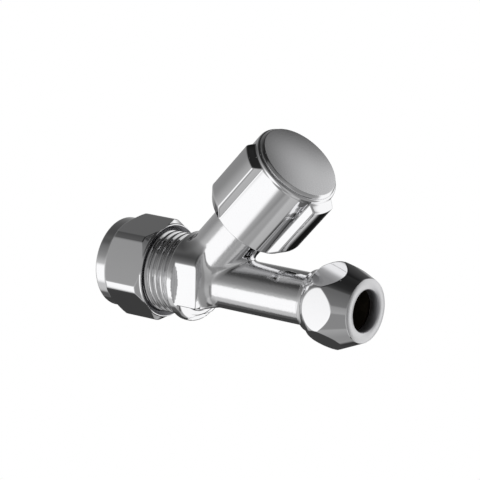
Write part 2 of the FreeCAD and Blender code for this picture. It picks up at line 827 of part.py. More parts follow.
def make_washer_retainer():
    """Small metal washer that holds the seat washer."""
    body = new_body("washer_retainer", on_spindle=True)
    face, _, _ = plunger_levels()
    turned(body, "disc", tube_points(d.washer_screw_radius + 0.1, d.retainer_radius,
                                     face - d.retainer_thickness, face))
    return body


def slotted_screw(body, radius, head_radius, head_height, head_face, length, up):
    """Pan-head screw about the axis: its head's seat is at head_face, its shank goes the way of up."""
    crown = head_face - up * head_height
    tip = head_face + up * length
    turned(body, "screw", [
        (0, crown),
        (head_radius * 0.75, crown),
        (head_radius, crown + up * head_height * 0.45),
        (head_radius, head_face),
        (radius, head_face),
        (radius, tip - up * 0.4),
        (radius - 0.4, tip),
        (0, tip),
    ])
    width = d.screw_slot_width / 2
    depth = d.screw_slot_depth
    bottom = crown - 1 if up > 0 else crown - depth
    padded(body, "slot", [(-head_radius - 1, -width), (head_radius + 1, -width),
                          (head_radius + 1, width), (-head_radius - 1, width)],
           bottom, depth + 1, cut=True)


def make_washer_screw():
    """Screw that holds the retainer and the seat washer to the plunger."""
    body = new_body("washer_screw", on_spindle=True)
    face, _, _ = plunger_levels()
    slotted_screw(body, d.washer_screw_radius, d.washer_screw_head_radius, d.washer_screw_head_height,
                  face - d.retainer_thickness, d.washer_screw_length, 1)
    return body


def lobe_outline():
    """Plan outline of one grip lobe with sloped flanks, its middle on +X, from inside the wall."""
    inner = d.handle_radius - d.handle_wall * 0.5
    root = d.lobe_root_half_angle
    tip = d.lobe_half_angle
    root_x = d.handle_radius * cosine(root)
    root_y = d.handle_radius * sine(root)
    far = d.lobe_radius
    half = tip / 2
    reach = far * 1.0
    return [
        (inner * cosine(root), -(inner * sine(root))),
        (root_x, -root_y),
        (reach * cosine(tip), -(reach * sine(tip))),
        (reach * cosine(half), -(reach * sine(half))),
        (reach, 0),
        (reach * cosine(half), reach * sine(half)),
        (reach * cosine(tip), reach * sine(tip)),
        (root_x, root_y),
        (inner * cosine(root), inner * sine(root)),
    ]


def make_handle():
    """Chromed handle: round skirt, grip lobes, cap recess and a hub for the insert."""
    body = new_body("handle", on_spindle=True)
    inner = d.handle_radius - d.handle_wall
    lobe = padded(body, "lobe", lobe_outline(), d.handle_bottom, d.handle_rim - d.handle_bottom)
    lobes = body.newObject("PartDesign::PolarPattern", "lobes")
    lobes.Originals = [lobe]
    lobes.Axis = (origin_plane(body, "Z_Axis"), [""])
    lobes.Angle = 360
    lobes.Occurrences = 3
    body.Tip = lobes
    far = d.lobe_radius + 2
    slope = (d.lobe_bottom - d.handle_bottom) / (d.lobe_radius - d.handle_radius)
    fall = d.lobe_top_rise / (d.lobe_radius - d.handle_radius)
    turned(body, "lobe_top_slope", [
        (d.handle_radius - 2, d.lobe_top + fall * (d.lobe_radius - d.handle_radius + 2)),
        (far, d.lobe_top - fall * 2),
        (far, d.handle_rim + 2),
        (d.handle_radius - 2, d.handle_rim + 2),
    ], cut=True)
    turned(body, "lobe_bottom_slope", [
        (d.handle_radius - 2, d.lobe_bottom - slope * (d.lobe_radius - d.handle_radius + 2)),
        (far, d.lobe_bottom + slope * 2),
        (far, d.handle_bottom - 6),
        (d.handle_radius - 2, d.handle_bottom - 6),
    ], cut=True)
    turned(body, "skirt", [
        (0, d.handle_bottom),
        (d.handle_radius - 0.2, d.handle_bottom),
        (d.handle_radius, d.handle_bottom + 0.2),
        (d.handle_radius, d.handle_rim - d.rim_round),
        (d.handle_radius - d.rim_round * 0.3, d.handle_rim - d.rim_round * 0.3),
        (d.handle_radius - d.rim_round, d.handle_rim),
        (0, d.handle_rim),
    ])
    insert_top = d.handle_plate_height
    plate_top = insert_top + d.handle_plate_thickness
    turned(body, "skirt_hollow", [
        (0, d.handle_bottom - 1),
        (inner, d.handle_bottom - 1),
        (inner, insert_top),
        (d.hub_radius, insert_top),
        (d.hub_radius, d.insert_bottom),
        (0, d.insert_bottom),
    ], cut=True)
    padded(body, "insert_seat", polygon_points(d.insert_flats + d.insert_clearance * 2),
           d.insert_bottom - 1, insert_top - d.insert_bottom + 1, cut=True)
    turned(body, "cap_recess", [
        (0, insert_top - 1),
        (d.screw_hole_radius, insert_top - 1),
        (d.screw_hole_radius, plate_top),
        (d.cap_skirt_radius + d.cap_clearance, plate_top),
        (d.cap_skirt_radius + d.cap_clearance, d.handle_rim + 1),
        (0, d.handle_rim + 1),
    ], cut=True)
    return body


def make_handle_insert():
    """Plastic insert: hexagon outside, square hole for the spindle."""
    body = new_body("handle_insert", on_spindle=True)
    height = d.handle_plate_height - d.insert_bottom
    padded(body, "hexagon", polygon_points(d.insert_flats), d.insert_bottom, height)
    padded(body, "square_hole", polygon_points(d.square_side + d.square_clearance * 2, 4),
           d.insert_bottom - 1, height + 2, cut=True)
    return body


def make_handle_screw():
    """Screw through the handle's plate into the spindle."""
    body = new_body("handle_screw", on_spindle=True)
    plate_top = d.handle_plate_height + d.handle_plate_thickness
    slotted_screw(body, d.screw_radius, d.screw_head_radius, d.screw_head_height,
                  plate_top + d.screw_washer_thickness, d.screw_length, -1)
    return body


def make_screw_washer():
    """Washer under the handle screw's head."""
    body = new_body("screw_washer", on_spindle=True)
    plate_top = d.handle_plate_height + d.handle_plate_thickness
    turned(body, "ring", tube_points(d.screw_radius + 0.2, d.screw_washer_radius,
                                     plate_top, plate_top + d.screw_washer_thickness))
    return body


def make_handle_cap():
    """Satin lid with a bevelled edge and a low crown, and a skirt that snaps into the handle."""
    body = new_body("handle_cap", on_spindle=True)
    inner = d.cap_skirt_radius - d.cap_skirt_wall
    underside = d.handle_rim + d.cap_clearance
    face = underside + d.cap_height
    turned(body, "lid", [
        (0, underside),
        (inner, underside),
        (inner, underside - d.cap_skirt_depth),
        (d.cap_skirt_radius, underside - d.cap_skirt_depth),
        (d.cap_skirt_radius, underside),
        (d.cap_radius - d.cap_edge * 0.5, underside),
        (d.cap_radius, underside + d.cap_edge),
        (d.cap_face_radius, face),
        (d.cap_face_radius * 0.7, face + d.cap_crown * 0.55),
        (d.cap_face_radius * 0.35, face + d.cap_crown * 0.9),
        (0, face + d.cap_crown),
    ])
    return body


valve_body, outlet_end = make_valve_body()
cut_ways(valve_body, outlet_end)
make_inlet_nut()
make_outlet_nut()
inlet_far = d.inlet_nut_start + d.inlet_nut_wall + d.olive_gap
make_olive("inlet_olive", d.inlet_pipe_radius, inlet_far, inlet_far + d.inlet_olive_length)
outlet_far = d.inlet_reach + d.outlet_nut_end - d.outlet_nut_wall - d.olive_gap
make_olive("outlet_olive", d.outlet_pipe_radius, outlet_far - d.outlet_olive_length, outlet_far)
make_bonnet()
make_bonnet_seal()
make_spindle()
make_stem_ring("stem_ring_lower", d.lower_ring_height)
make_stem_ring("stem_ring_upper", d.upper_ring_height)
make_thrust_washer()
make_spindle_clip()
make_plunger()
make_plunger_ring()
make_seat_washer()
make_washer_retainer()
make_washer_screw()
make_handle()
make_handle_insert()
make_handle_screw()
make_screw_washer()
make_handle_cap()

doc.recompute()

for thing in doc.Objects:
    if "Invalid" in thing.State or "Error" in thing.State:
        raise RuntimeError("%s failed: %s" % (thing.Label, thing.State))

os.makedirs("parts", exist_ok=True)
for subpart in subparts:
    shape = subpart.Shape
    if shape.isNull() or not shape.isValid():
        raise RuntimeError("%s has no valid shape" % subpart.Label)
    shape.exportStep("parts/%s.step" % subpart.Label)
    print("%-18s %8.1f mm3  %d solid(s)" % (subpart.Label, shape.Volume, len(shape.Solids)))
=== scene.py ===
import json
import math

import bpy
import numpy as np
from mathutils import Matrix, Vector


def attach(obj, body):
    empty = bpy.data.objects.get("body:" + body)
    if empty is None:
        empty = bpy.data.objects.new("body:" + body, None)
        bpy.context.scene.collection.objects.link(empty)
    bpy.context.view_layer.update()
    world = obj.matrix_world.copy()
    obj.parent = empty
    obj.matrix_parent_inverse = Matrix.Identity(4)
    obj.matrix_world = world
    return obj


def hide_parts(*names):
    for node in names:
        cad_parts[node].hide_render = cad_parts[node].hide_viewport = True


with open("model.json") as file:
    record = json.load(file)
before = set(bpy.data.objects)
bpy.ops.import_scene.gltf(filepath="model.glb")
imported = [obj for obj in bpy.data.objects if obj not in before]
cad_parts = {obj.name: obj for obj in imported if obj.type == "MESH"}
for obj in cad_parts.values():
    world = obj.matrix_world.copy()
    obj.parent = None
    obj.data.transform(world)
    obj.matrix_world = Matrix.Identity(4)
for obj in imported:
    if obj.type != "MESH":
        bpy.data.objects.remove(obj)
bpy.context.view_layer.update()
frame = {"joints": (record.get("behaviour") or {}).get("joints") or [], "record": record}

# A chromed straight isolating valve: fine surfaces, materials, light and camera.
# Lengths in this script are millimetres until a mesh is made, in the frame of the solids:
# +X runs along the pipes from the inlet to the outlet, and +Z is up.
MM = 0.001

# The spindle's axis crosses the pipe's axis at CROSSING and leans over the outlet
HANDLE_TURN = next(joint for joint in frame["joints"] if joint["name"] == "handle_turn")
CROSSING = np.array(HANDLE_TURN["pos_m"]) / MM
BRANCH_ANGLE = math.radians(47.5)
ALONG = np.array([math.cos(BRANCH_ANGLE), 0.0, math.sin(BRANCH_ANGLE)])
DOWN = np.array([math.sin(BRANCH_ANGLE), 0.0, -math.cos(BRANCH_ANGLE)])
SIDE = np.array([0.0, -1.0, 0.0])

# Pipe ends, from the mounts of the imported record
MOUNTS = {mount["name"]: mount for mount in frame["record"]["mounts"]}
INLET_RADIUS = MOUNTS["inlet_pipe"]["dims"]["r_mm"]
INLET_DEPTH = MOUNTS["inlet_pipe"]["dims"]["length_mm"]
OUTLET_RADIUS = MOUNTS["outlet_pipe"]["dims"]["r_mm"]
OUTLET_DEPTH = MOUNTS["outlet_pipe"]["dims"]["length_mm"]
OUTLET_MOUTH = MOUNTS["outlet_pipe"]["pos_m"][0] / MM

# Turned pieces: spacing of points where the shape is plain
PLAIN_SPACING = 1.5
# Hexagons: rounding of the corners, and the least cosine at which a direction meets a flat
HEXAGON_ROUND = 0.1
LEAST_FACING = 0.3
FAR_AWAY = 1e3
# Casting: spacing of its net, and how often the net is pulled onto the surface
NET_STEP = 0.36
NET_PULLS = 3
# Least values that a squared slope and a length are divided by
LEAST_SLOPE = 0.05
LEAST_LENGTH = 1e-9


# Shape helpers
def smooth_min(a, b, k):
    """The smaller of two fields, with a rounded change-over k wide."""
    h = np.maximum(k - np.abs(a - b), 0) / k
    return np.minimum(a, b) - h * h * k / 4


def smooth_max(a, b, k):
    """The larger of two fields, with a rounded change-over k wide."""
    return -smooth_min(-a, -b, k)


def new_object(name, points, faces):
    """A smooth-shaded mesh object from points in millimetres."""
    mesh = bpy.data.meshes.new(name)
    mesh.from_pydata((np.asarray(points) * MM).tolist(), [], np.asarray(faces).tolist())
    mesh.update()
    mesh.shade_smooth()
    piece = bpy.data.objects.new(name, mesh)
    bpy.context.collection.objects.link(piece)
    return piece


def arc(centre, radius, start, end, count=6):
    """Points of an arc in the profile plane, angles in degrees from the axis direction."""
    angles = np.radians(np.linspace(start, end, count))
    return [(centre[0] + radius * math.cos(a), centre[1] + radius * math.sin(a)) for a in angles]


def refined(profile, step, fine_from=0.0):
    """A closed profile with extra points on its long sides, fewer where it lies inside fine_from."""
    points = []
    for i, here in enumerate(profile):
        following = profile[(i + 1) % len(profile)]
        length = math.dist(here, following)
        spacing = step if max(here[1], following[1]) > fine_from else PLAIN_SPACING
        count = max(1, int(math.ceil(length / spacing)))
        for k in range(count):
            f = k / count
            points.append((here[0] + (following[0] - here[0]) * f, here[1] + (following[1] - here[1]) * f))
    return np.array(points)


def turned_grid(profile, count, shape=None):
    """A closed profile carried round the axis. shape(along, out, angle) may change the radius."""
    along = profile[:, 0][None, :]
    out = profile[:, 1][None, :]
    angle = np.linspace(0, 2 * math.pi, count, endpoint=False)[:, None]
    radius = out + 0 * angle if shape is None else shape(along, out, angle)
    points = np.stack([along + 0 * angle, radius * np.cos(angle), radius * np.sin(angle)], -1)
    rows, columns = points.shape[:2]
    index = np.arange(rows * columns).reshape(rows, columns)
    right = np.roll(index, -1, axis=1)
    faces = np.stack([index, np.roll(index, -1, axis=0), np.roll(right, -1, axis=0), right], -1)
    points = points.reshape(-1, 3)
    return points, facing_out(points, faces.reshape(-1, 4))


def facing_out(points, faces):
    """The faces of a closed surface, turned round together if they look inwards."""
    p = points[faces]
    area = np.cross(p[:, 2] - p[:, 0], p[:, 3] - p[:, 1])
    if (p.mean(axis=1) * area).sum() < 0:
        return faces[:, ::-1]
    return faces


def on_spindle(points):
    """Points drawn as (along, side, down) about the spindle, put in the valve's frame."""
    return CROSSING + points[:, :1] * ALONG + points[:, 1:2] * SIDE + points[:, 2:3] * DOWN


def hexagon_radius(flats, angle, turn):
    """Radius at an angle of a hexagon with rounded corners, one flat facing the turn angle."""
    best = None
    for i in range(6):
        facing = np.cos(angle - math.radians(turn) - 2 * math.pi * i / 6)
        reach = np.where(facing > LEAST_FACING, flats / 2 / np.maximum(facing, LEAST_FACING), FAR_AWAY)
        best = reach if best is None else smooth_min(best, reach, HEXAGON_ROUND)
    return best


def unit(vectors):
    """Vectors brought to length one."""
    return vectors / np.maximum(np.linalg.norm(vectors, axis=1), LEAST_LENGTH)[:, None]


def own_normals(piece):
    """The shading normals that the mesh has by itself, one row for each point."""
    vectors = np.empty(len(piece.data.vertices) * 3)
    piece.data.vertex_normals.foreach_get("vector", vectors)
    return vectors.reshape(-1, 3)


def surface_net(field, low, high, step):
    """A closed quad mesh on the zero level of field(x, y, z), pulled onto the surface."""
    axes = [np.arange(low[i], high[i] + step, step) for i in range(3)]
    x, y, z = np.meshgrid(*axes, indexing="ij")
    values = field(x, y, z)
    inside = values < 0
    shape = np.array(values.shape) - 1
    total = np.zeros((*shape, 3))
    count = np.zeros(shape)
    base = np.stack([x, y, z], -1)
    corners = [(i, j, k) for i in (0, 1) for j in (0, 1) for k in (0, 1)]
    for a in corners:
        for axis in range(3):
            if a[axis]:
                continue
            b = list(a)
            b[axis] = 1
            sa = tuple(slice(a[i], a[i] + shape[i]) for i in range(3))
            sb = tuple(slice(b[i], b[i] + shape[i]) for i in range(3))
            crossing = inside[sa] != inside[sb]
            va = values[sa][crossing]
            vb = values[sb][crossing]
            f = (va / (va - vb))[:, None]
            total[crossing] += base[sa][crossing] * (1 - f) + base[sb][crossing] * f
            count[crossing] += 1
    used = count > 0
    number = -np.ones(shape, dtype=int)
    number[used] = np.arange(used.sum())
    points = total[used] / count[used][:, None]
    faces = []
    for axis in range(3):
        u, v = (axis + 1) % 3, (axis + 2) % 3
        first = [slice(1, -1)] * 3
        first[axis] = slice(0, -1)
        second = list(first)
        second[axis] = slice(1, None)
        here = inside[tuple(first)]
        there = inside[tuple(second)]
        change = np.argwhere(here != there)
        start = here[here != there]
        cell = change.copy()
        cell[:, u] += 1
        cell[:, v] += 1
        quad = []
        for du, dv in ((0, 0), (1, 0), (1, 1), (0, 1)):
            c = cell.copy()
            c[:, u] -= du
            c[:, v] -= dv
            quad.append(number[c[:, 0], c[:, 1], c[:, 2]])
        quad = np.stack(quad, -1)
        quad[~start] = quad[~start][:, ::-1]
        faces.append(quad)
    faces = np.concatenate(faces)
    for _ in range(NET_PULLS):
        value, slope = with_slope(field, points)
        points = points - (value / np.maximum((slope**2).sum(-1), LEAST_SLOPE))[:, None] * slope
    return points, faces


def with_slope(field, points, step=0.01):
    """The field and its slope at points."""
    value = field(*points.T)
    slope = np.zeros_like(points)
    for i in range(3):
        ahead = points.copy()
        ahead[:, i] += step
        behind = points.copy()
        behind[:, i] -= step
        slope[:, i] = (field(*ahead.T) - field(*behind.T)) / (2 * step)
    return value, slope


# Valve body: places along the pipe from the origin, radii about the pipe
TUBE_RADIUS = 6.6
TUBE_START = 16.0
OUTLET_END = 58.7
SHOULDER_RADIUS = 9.7
SHOULDER_START = 12.6
SHOULDER_END = 16.0

# Turned disc and wrench block. The disc's leaning end face passes DISC_END at DISC_END_DEPTH below the
# axis. The block reaches down to BLOCK_DEPTH below the axis, and below it a cone joins disc and tube.
DISC_RADIUS = 11.42
DISC_START = 13.1
DISC_END = 15.5
DISC_END_DEPTH = 11.0
DISC_END_FACING = 0.985
DISC_END_LEAN = 0.17
BLOCK_END = 21.8
BLOCK_HALF = 10.0
BLOCK_DEPTH = 5.6
FLATS_START = 15.1
CONE_RADIUS = 8.4
CONE_FROM = 16.5
CONE_TAPER = 0.33
CONE_START = 14.0
CONE_END = 22.0

# Concave flare from the block to the tube
FLARE_SIZE = 3.5
FLARE_RADIUS = 9.95
FLARE_DEPTH = 6.3
FLARE_OVERLAP = 1.0

# Branch: heights up the spindle from the crossing, and its narrower root
BRANCH_RADIUS = 7.45
BRANCH_TOP = 27.0
ROOT_RADIUS = 6.4
ROOT_TAPER = 1.05 / 6.6
ROOT_LEAST = 6.0

# Ways through the body, as in the solid, with sockets a little wider than the mounts' radii
INLET_SOCKET = INLET_RADIUS + 0.05
INLET_WAY = 4.2
INLET_WAY_END = 12.6
OUTLET_SOCKET = OUTLET_RADIUS + 0.02
OUTLET_WAY = 3.7
OUTLET_WAY_START = 5.5
OUTLET_FLARE = 0.556
OUTLET_FLARE_OVERLAP = 0.4
HEADWORK_BORE = 6.0
HEADWORK_BORE_START = 10.8
CHAMBER_RADIUS = 5.2
CHAMBER_START = 2.9
SEAT_WAY = 3.1
SEAT_WAY_START = -5.0

# Widths over which the casting's faces round into each other
DISC_RIM_ROUND = 0.7
DISC_END_ROUND = 1.1
BLOCK_FOOT_ROUND = 0.5
BLOCK_END_ROUND = 0.6
FLATS_ROUND = 0.16
CONE_ROUND = 0.5
CONE_BLEND = 0.6
SHOULDER_ROUND = 0.3
FLARE_ROUND = 1.0
TUBE_BLEND = 0.9
TUBE_END_ROUND = 0.4
BRANCH_TOP_ROUND = 0.5
BRANCH_BLEND = 1.6

# Corners of the box that the casting's net fills
NET_LOW = (11.9, -12.1, -12.1)
NET_HIGH = (59.3, 12.1, 31.0)

# Threaded inlet stub. A turn of the thread is crest, flank and root by the two shares of half a pitch.
STUB_START = -1.78
STUB_BORE = 7.64
STUB_MOUTH = 8.62
STUB_EDGE = 0.4
STUB_INNER_END = 13.1
THREAD_START = -1.6
THREAD_END = 12.9
THREAD_CREST = 10.38
THREAD_DEPTH = 0.85
THREAD_PITCH = 1.814
THREAD_RUN_OUT = [(12.2, THREAD_CREST), (12.9, 9.6), (13.4, 9.5)]
THREAD_FADE = 0.8
CREST_SHARE = 0.28
FLANK_SHARE = 0.6
THREADED_DEPTH = 0.6
STUB_COLUMNS = 300
STUB_SPACING = 0.17
STUB_FINE_FROM = 9.9


def block_field(x, y, z, r):
    """Turned disc, wrench block above it, cone below the block and milled flats."""
    turned = smooth_max(r - DISC_RADIUS, DISC_START - x, DISC_RIM_ROUND)
    disc_end = DISC_END_FACING * (x - DISC_END) - DISC_END_LEAN * (z + DISC_END_DEPTH)
    disc = smooth_max(turned, disc_end, DISC_END_ROUND)
    upper = smooth_max(turned, -z - BLOCK_DEPTH, BLOCK_FOOT_ROUND)
    block = np.minimum(disc, upper)
    cone = smooth_max(r - CONE_RADIUS + CONE_TAPER * (x - CONE_FROM), x - CONE_END, CONE_ROUND)
    block = smooth_min(block, np.maximum(cone, CONE_START - x), CONE_BLEND)
    block = smooth_max(block, x - BLOCK_END, BLOCK_END_ROUND)
    milled = np.minimum(np.maximum(np.abs(y), np.abs(z)) - BLOCK_HALF, x - FLATS_START)
    return smooth_max(block, milled, FLATS_ROUND)


def flare_field(x, z, r):
    """Concave flare at the foot of the block, without its underside."""
    end = BLOCK_END + FLARE_SIZE
    hollow = np.hypot(np.minimum(x - end, 0), np.minimum(r - TUBE_RADIUS - FLARE_SIZE, 0))
    flare = np.maximum(FLARE_SIZE - hollow, BLOCK_END - FLARE_OVERLAP - x)
    flare = np.maximum(flare, np.maximum(x - end, r - FLARE_RADIUS))
    return smooth_max(flare, -z - FLARE_DEPTH, FLARE_ROUND)


def ways_field(x, r, up, across):
    """All hollows: inlet socket and way, outlet way and socket, and the bores under the headwork."""
    hollows = [
        np.maximum(r - INLET_SOCKET, x - INLET_DEPTH),
        np.maximum(r - INLET_WAY, x - INLET_WAY_END),
        np.maximum(r - OUTLET_WAY, CROSSING[0] + OUTLET_WAY_START - x),
        np.maximum(r - OUTLET_SOCKET, OUTLET_MOUTH - OUTLET_DEPTH - x),
        np.maximum(r - OUTLET_SOCKET - (x - OUTLET_MOUTH) * OUTLET_FLARE,
                   OUTLET_MOUTH - OUTLET_FLARE_OVERLAP - x),
        np.maximum(across - HEADWORK_BORE, HEADWORK_BORE_START - up),
        np.maximum(across - CHAMBER_RADIUS, CHAMBER_START - up),
        np.maximum(across - SEAT_WAY, SEAT_WAY_START - up),
    ]
    return np.minimum.reduce(hollows)


def cast_field(x, y, z):
    """Shoulder, block, flare, tube and branch, blended as one casting, with its ways cut."""
    r = np.hypot(y, z)
    dx = x - CROSSING[0]
    up = dx * ALONG[0] + z * ALONG[2]
    across = np.hypot(y, dx * DOWN[0] + z * DOWN[2])
    tube = np.maximum(r - TUBE_RADIUS, TUBE_START - x)
    tube = np.minimum(smooth_min(tube, block_field(x, y, z, r), TUBE_BLEND), flare_field(x, z, r))
    tube = smooth_max(tube, x - OUTLET_END, TUBE_END_ROUND)
    branch_radius = np.clip(ROOT_RADIUS + up * ROOT_TAPER, ROOT_LEAST, BRANCH_RADIUS)
    branch = smooth_max(across - branch_radius, up - BRANCH_TOP, BRANCH_TOP_ROUND)
    solid = smooth_min(tube, np.maximum(branch, -up), BRANCH_BLEND)
    shoulder = smooth_max(r - SHOULDER_RADIUS, x - SHOULDER_END, SHOULDER_ROUND)
    shoulder = smooth_max(shoulder, SHOULDER_START - x, SHOULDER_ROUND)
    solid = smooth_min(solid, shoulder, SHOULDER_ROUND)
    return np.maximum(solid, -ways_field(x, r, up, across))


def thread_shape(along, out, angle):
    """The stub's outer radius with a right-handed thread that runs out softly at both ends."""
    phase = (along - THREAD_PITCH * angle / (2 * math.pi)) / THREAD_PITCH
    wave = np.abs(phase - np.floor(phase) - 0.5) * 2
    groove = np.clip((wave - CREST_SHARE) / FLANK_SHARE, 0, 1) * THREAD_DEPTH
    fade_in = np.clip((along - THREAD_START) / THREAD_FADE, 0, 1)
    fade_out = np.clip((THREAD_END - along) / THREAD_FADE, 0, 1)
    threaded = np.minimum(out, THREAD_CREST - groove * fade_in * fade_out)
    return np.where(out > THREAD_CREST - THREADED_DEPTH, threaded, out)


def make_valve_body():
    """The casting and its threaded inlet stub."""
    points, faces = surface_net(cast_field, NET_LOW, NET_HIGH, NET_STEP)
    profile = [(STUB_INNER_END, STUB_BORE), (0.0, STUB_BORE), (STUB_START, STUB_MOUTH)]
    profile += arc((STUB_START + STUB_EDGE, THREAD_CREST - STUB_EDGE), STUB_EDGE, 180, 90)
    profile += THREAD_RUN_OUT
    profile = refined(profile[::-1], STUB_SPACING, STUB_FINE_FROM)
    stub_points, stub_faces = turned_grid(profile, STUB_COLUMNS, thread_shape)
    piece = new_object("valve_body_surface", np.concatenate([points, stub_points]),
                       np.concatenate([faces, stub_faces + len(points)]))
    normals = own_normals(piece)
    _, slope = with_slope(cast_field, points)
    normals[:len(points)] = unit(slope)
    piece.data.normals_split_custom_set_from_vertices(normals.tolist())
    return piece


# Nuts: flats and turn of the hexagons, in degrees, and the radius inside which a nut stays round
INLET_FLATS = 23.4
INLET_TURN = 43.7
INLET_ROUND_INSIDE = 10.8
INLET_BEVEL_ROUND = 0.1
INLET_SPACING = 0.16
OUTLET_FLATS = 19.0
OUTLET_TURN = 53.9
OUTLET_ROUND_INSIDE = 8.3
OUTLET_BEVEL_ROUND = 0.08
OUTLET_SPACING = 0.14
NUT_COLUMNS = 480

# Inlet nut, as (place along the pipe, radius)
COLLAR_START = -9.78
COLLAR_RADIUS = 11.38
COLLAR_EDGE = 0.43
COLLAR_TO_HEXAGON = [(-6.75, COLLAR_RADIUS), (-6.35, 11.45), (-5.5, 12.6), (-5.1, 12.98), (-4.8, 13.04)]
HEXAGON_TO_MOUTH = [(4.05, 13.04), (4.3, 12.98), (5.15, 11.9)]
MOUTH_EDGE = 0.3
MOUTH_EDGE_CENTRE = (5.36, 11.65)
INLET_NUT_BORE = 10.5
INLET_NUT_BORE_START = -6.6
INLET_NUT_BORE_END = 5.2
INLET_NUT_HOLE = 7.75
INLET_NUT_HOLE_EDGE = [(-9.4, INLET_NUT_HOLE), (COLLAR_START, 8.1)]

# Outlet nut: collar measured from its start, barrel from OUTLET_BARREL_FROM, ring face from its end
OUTLET_NUT_START = 51.1
OUTLET_NUT_END = 66.5
OUTLET_COLLAR_START = (0.02, 7.5)
OUTLET_COLLAR_EDGE = 0.2
OUTLET_COLLAR_EDGE_CENTRE = (0.2, 7.62)
OUTLET_COLLAR = [(1.2, 7.95), (1.5, 8.1), (2.1, 8.7), (2.9, 9.32)]
OUTLET_BARREL_FROM = 53.0
OUTLET_BARREL = [(1.3, 9.6), (1.9, 9.9), (2.4, 10.15), (3.0, 10.4), (3.7, 10.62), (4.4, 10.78),
                 (5.2, 10.88), (6.0, 10.9), (6.35, 10.86)]
OUTLET_NUT_HOLE = 5.26
OUTLET_RING = [(-0.35, 8.1), (-0.1, 7.98), (-0.02, 7.9), (-0.02, 5.5), (-0.3, OUTLET_NUT_HOLE)]
OUTLET_NUT_BORE = 6.7
OUTLET_NUT_BORE_END = 63.9
OUTLET_NUT_BORE_START = [(0.6, OUTLET_NUT_BORE), (0.02, 7.2)]


def shifted(outline, start):
    """Outline points moved along the axis."""
    return [(start + along, radius) for along, radius in outline]


def nut_shape(flats, turn, round_inside, bevel_round):
    """A shape that cuts a turned blank down to a hexagon outside the radius round_inside."""

    def shape(along, out, angle):
        """The nut's radius at a drawn radius and an angle."""
        across = hexagon_radius(flats, angle, turn) + 0 * along
        blank = out + 0 * angle
        return np.where(out > round_inside, smooth_min(blank, across, bevel_round), blank)

    return shape


def make_inlet_nut():
    """Collar, hexagon with turned corners and bevels, and the bore."""
    centre = (COLLAR_START + COLLAR_EDGE, COLLAR_RADIUS - COLLAR_EDGE)
    profile = arc(centre, COLLAR_EDGE, 180, 90) + COLLAR_TO_HEXAGON + HEXAGON_TO_MOUTH
    profile += arc(MOUTH_EDGE_CENTRE, MOUTH_EDGE, 50, 0, 4)
    profile += [(INLET_NUT_BORE_END, INLET_NUT_BORE), (INLET_NUT_BORE_START, INLET_NUT_BORE)]
    profile += [(INLET_NUT_BORE_START, INLET_NUT_HOLE)] + INLET_NUT_HOLE_EDGE
    profile = refined(profile, INLET_SPACING, INLET_ROUND_INSIDE)
    shape = nut_shape(INLET_FLATS, INLET_TURN, INLET_ROUND_INSIDE, INLET_BEVEL_ROUND)
    return new_object("inlet_nut_surface", *turned_grid(profile, NUT_COLUMNS, shape))


def make_outlet_nut():
    """Hexagon between two turned cones, ring face and bore."""
    edge = arc(OUTLET_COLLAR_EDGE_CENTRE, OUTLET_COLLAR_EDGE, 170, 80, 4)
    profile = shifted([OUTLET_COLLAR_START] + edge + OUTLET_COLLAR, OUTLET_NUT_START)
    profile += shifted(OUTLET_BARREL, OUTLET_BARREL_FROM)
    profile += shifted(OUTLET_RING, OUTLET_NUT_END)
    profile += [(OUTLET_NUT_BORE_END, OUTLET_NUT_HOLE), (OUTLET_NUT_BORE_END, OUTLET_NUT_BORE)]
    profile += shifted(OUTLET_NUT_BORE_START, OUTLET_NUT_START)
    profile = refined(profile, OUTLET_SPACING, OUTLET_ROUND_INSIDE)
    shape = nut_shape(OUTLET_FLATS, OUTLET_TURN, OUTLET_ROUND_INSIDE, OUTLET_BEVEL_ROUND)
    return new_object("outlet_nut_surface", *turned_grid(profile, NUT_COLUMNS, shape))


# Handle: heights up the spindle from the crossing, radii about the spindle
SKIRT_START = 24.25
SKIRT_START_OUTER = 11.2
SKIRT_START_INNER = 10.2
SKIRT_EDGE = 24.4
SKIRT_RADIUS = 11.48
SKIRT_BORE = 10.0
HANDLE_TOP = 44.88
HANDLE_TOP_EDGE = 0.57
HANDLE_TOP_EDGE_CENTRE = (44.3, 10.9)
HANDLE_TOP_OUTER = 10.7
CAP_SEAT_RADIUS = 9.3
CAP_SEAT = 41.6
CEILING = 40.2
SCREW_HOLE = 1.8
BOSS_END = 35.2
BOSS_BORE = 4.7
BOSS_RADIUS = 6.6
HANDLE_SPACING = 0.18
HANDLE_FINE_FROM = 11.0
HANDLE_COLUMNS = 540

# Lobes: LOBE_FIRST degrees round from SIDE is DOWN. The slopes are radius lost for each radian past the
# half angle, or for each millimetre past the top and bottom.
LOBES = 3
LOBE_FIRST = 90
LOBE_APART = 360 // LOBES
LOBE_RADIUS = 13.46
LOBE_HALF_ANGLE = math.radians(16.6)
LOBE_FLANK_RADIUS = 13.45
LOBE_FLANK_SLOPE = 22.0
LOBE_TOP = 42.75
LOBE_TOP_RADIUS = 13.4
LOBE_TOP_SLOPE = 2.0
LOBE_BOTTOM = 24.2
LOBE_BOTTOM_RADIUS = 11.5
LOBE_BOTTOM_SLOPE = 0.62
LOBE_FLANK_ROUND = 0.5
LOBE_ROOT_ROUND = 0.35
LOBE_TOP_ROUND = 0.35
LOBE_BOTTOM_ROUND = 0.3
LOBED_FROM = 11.3

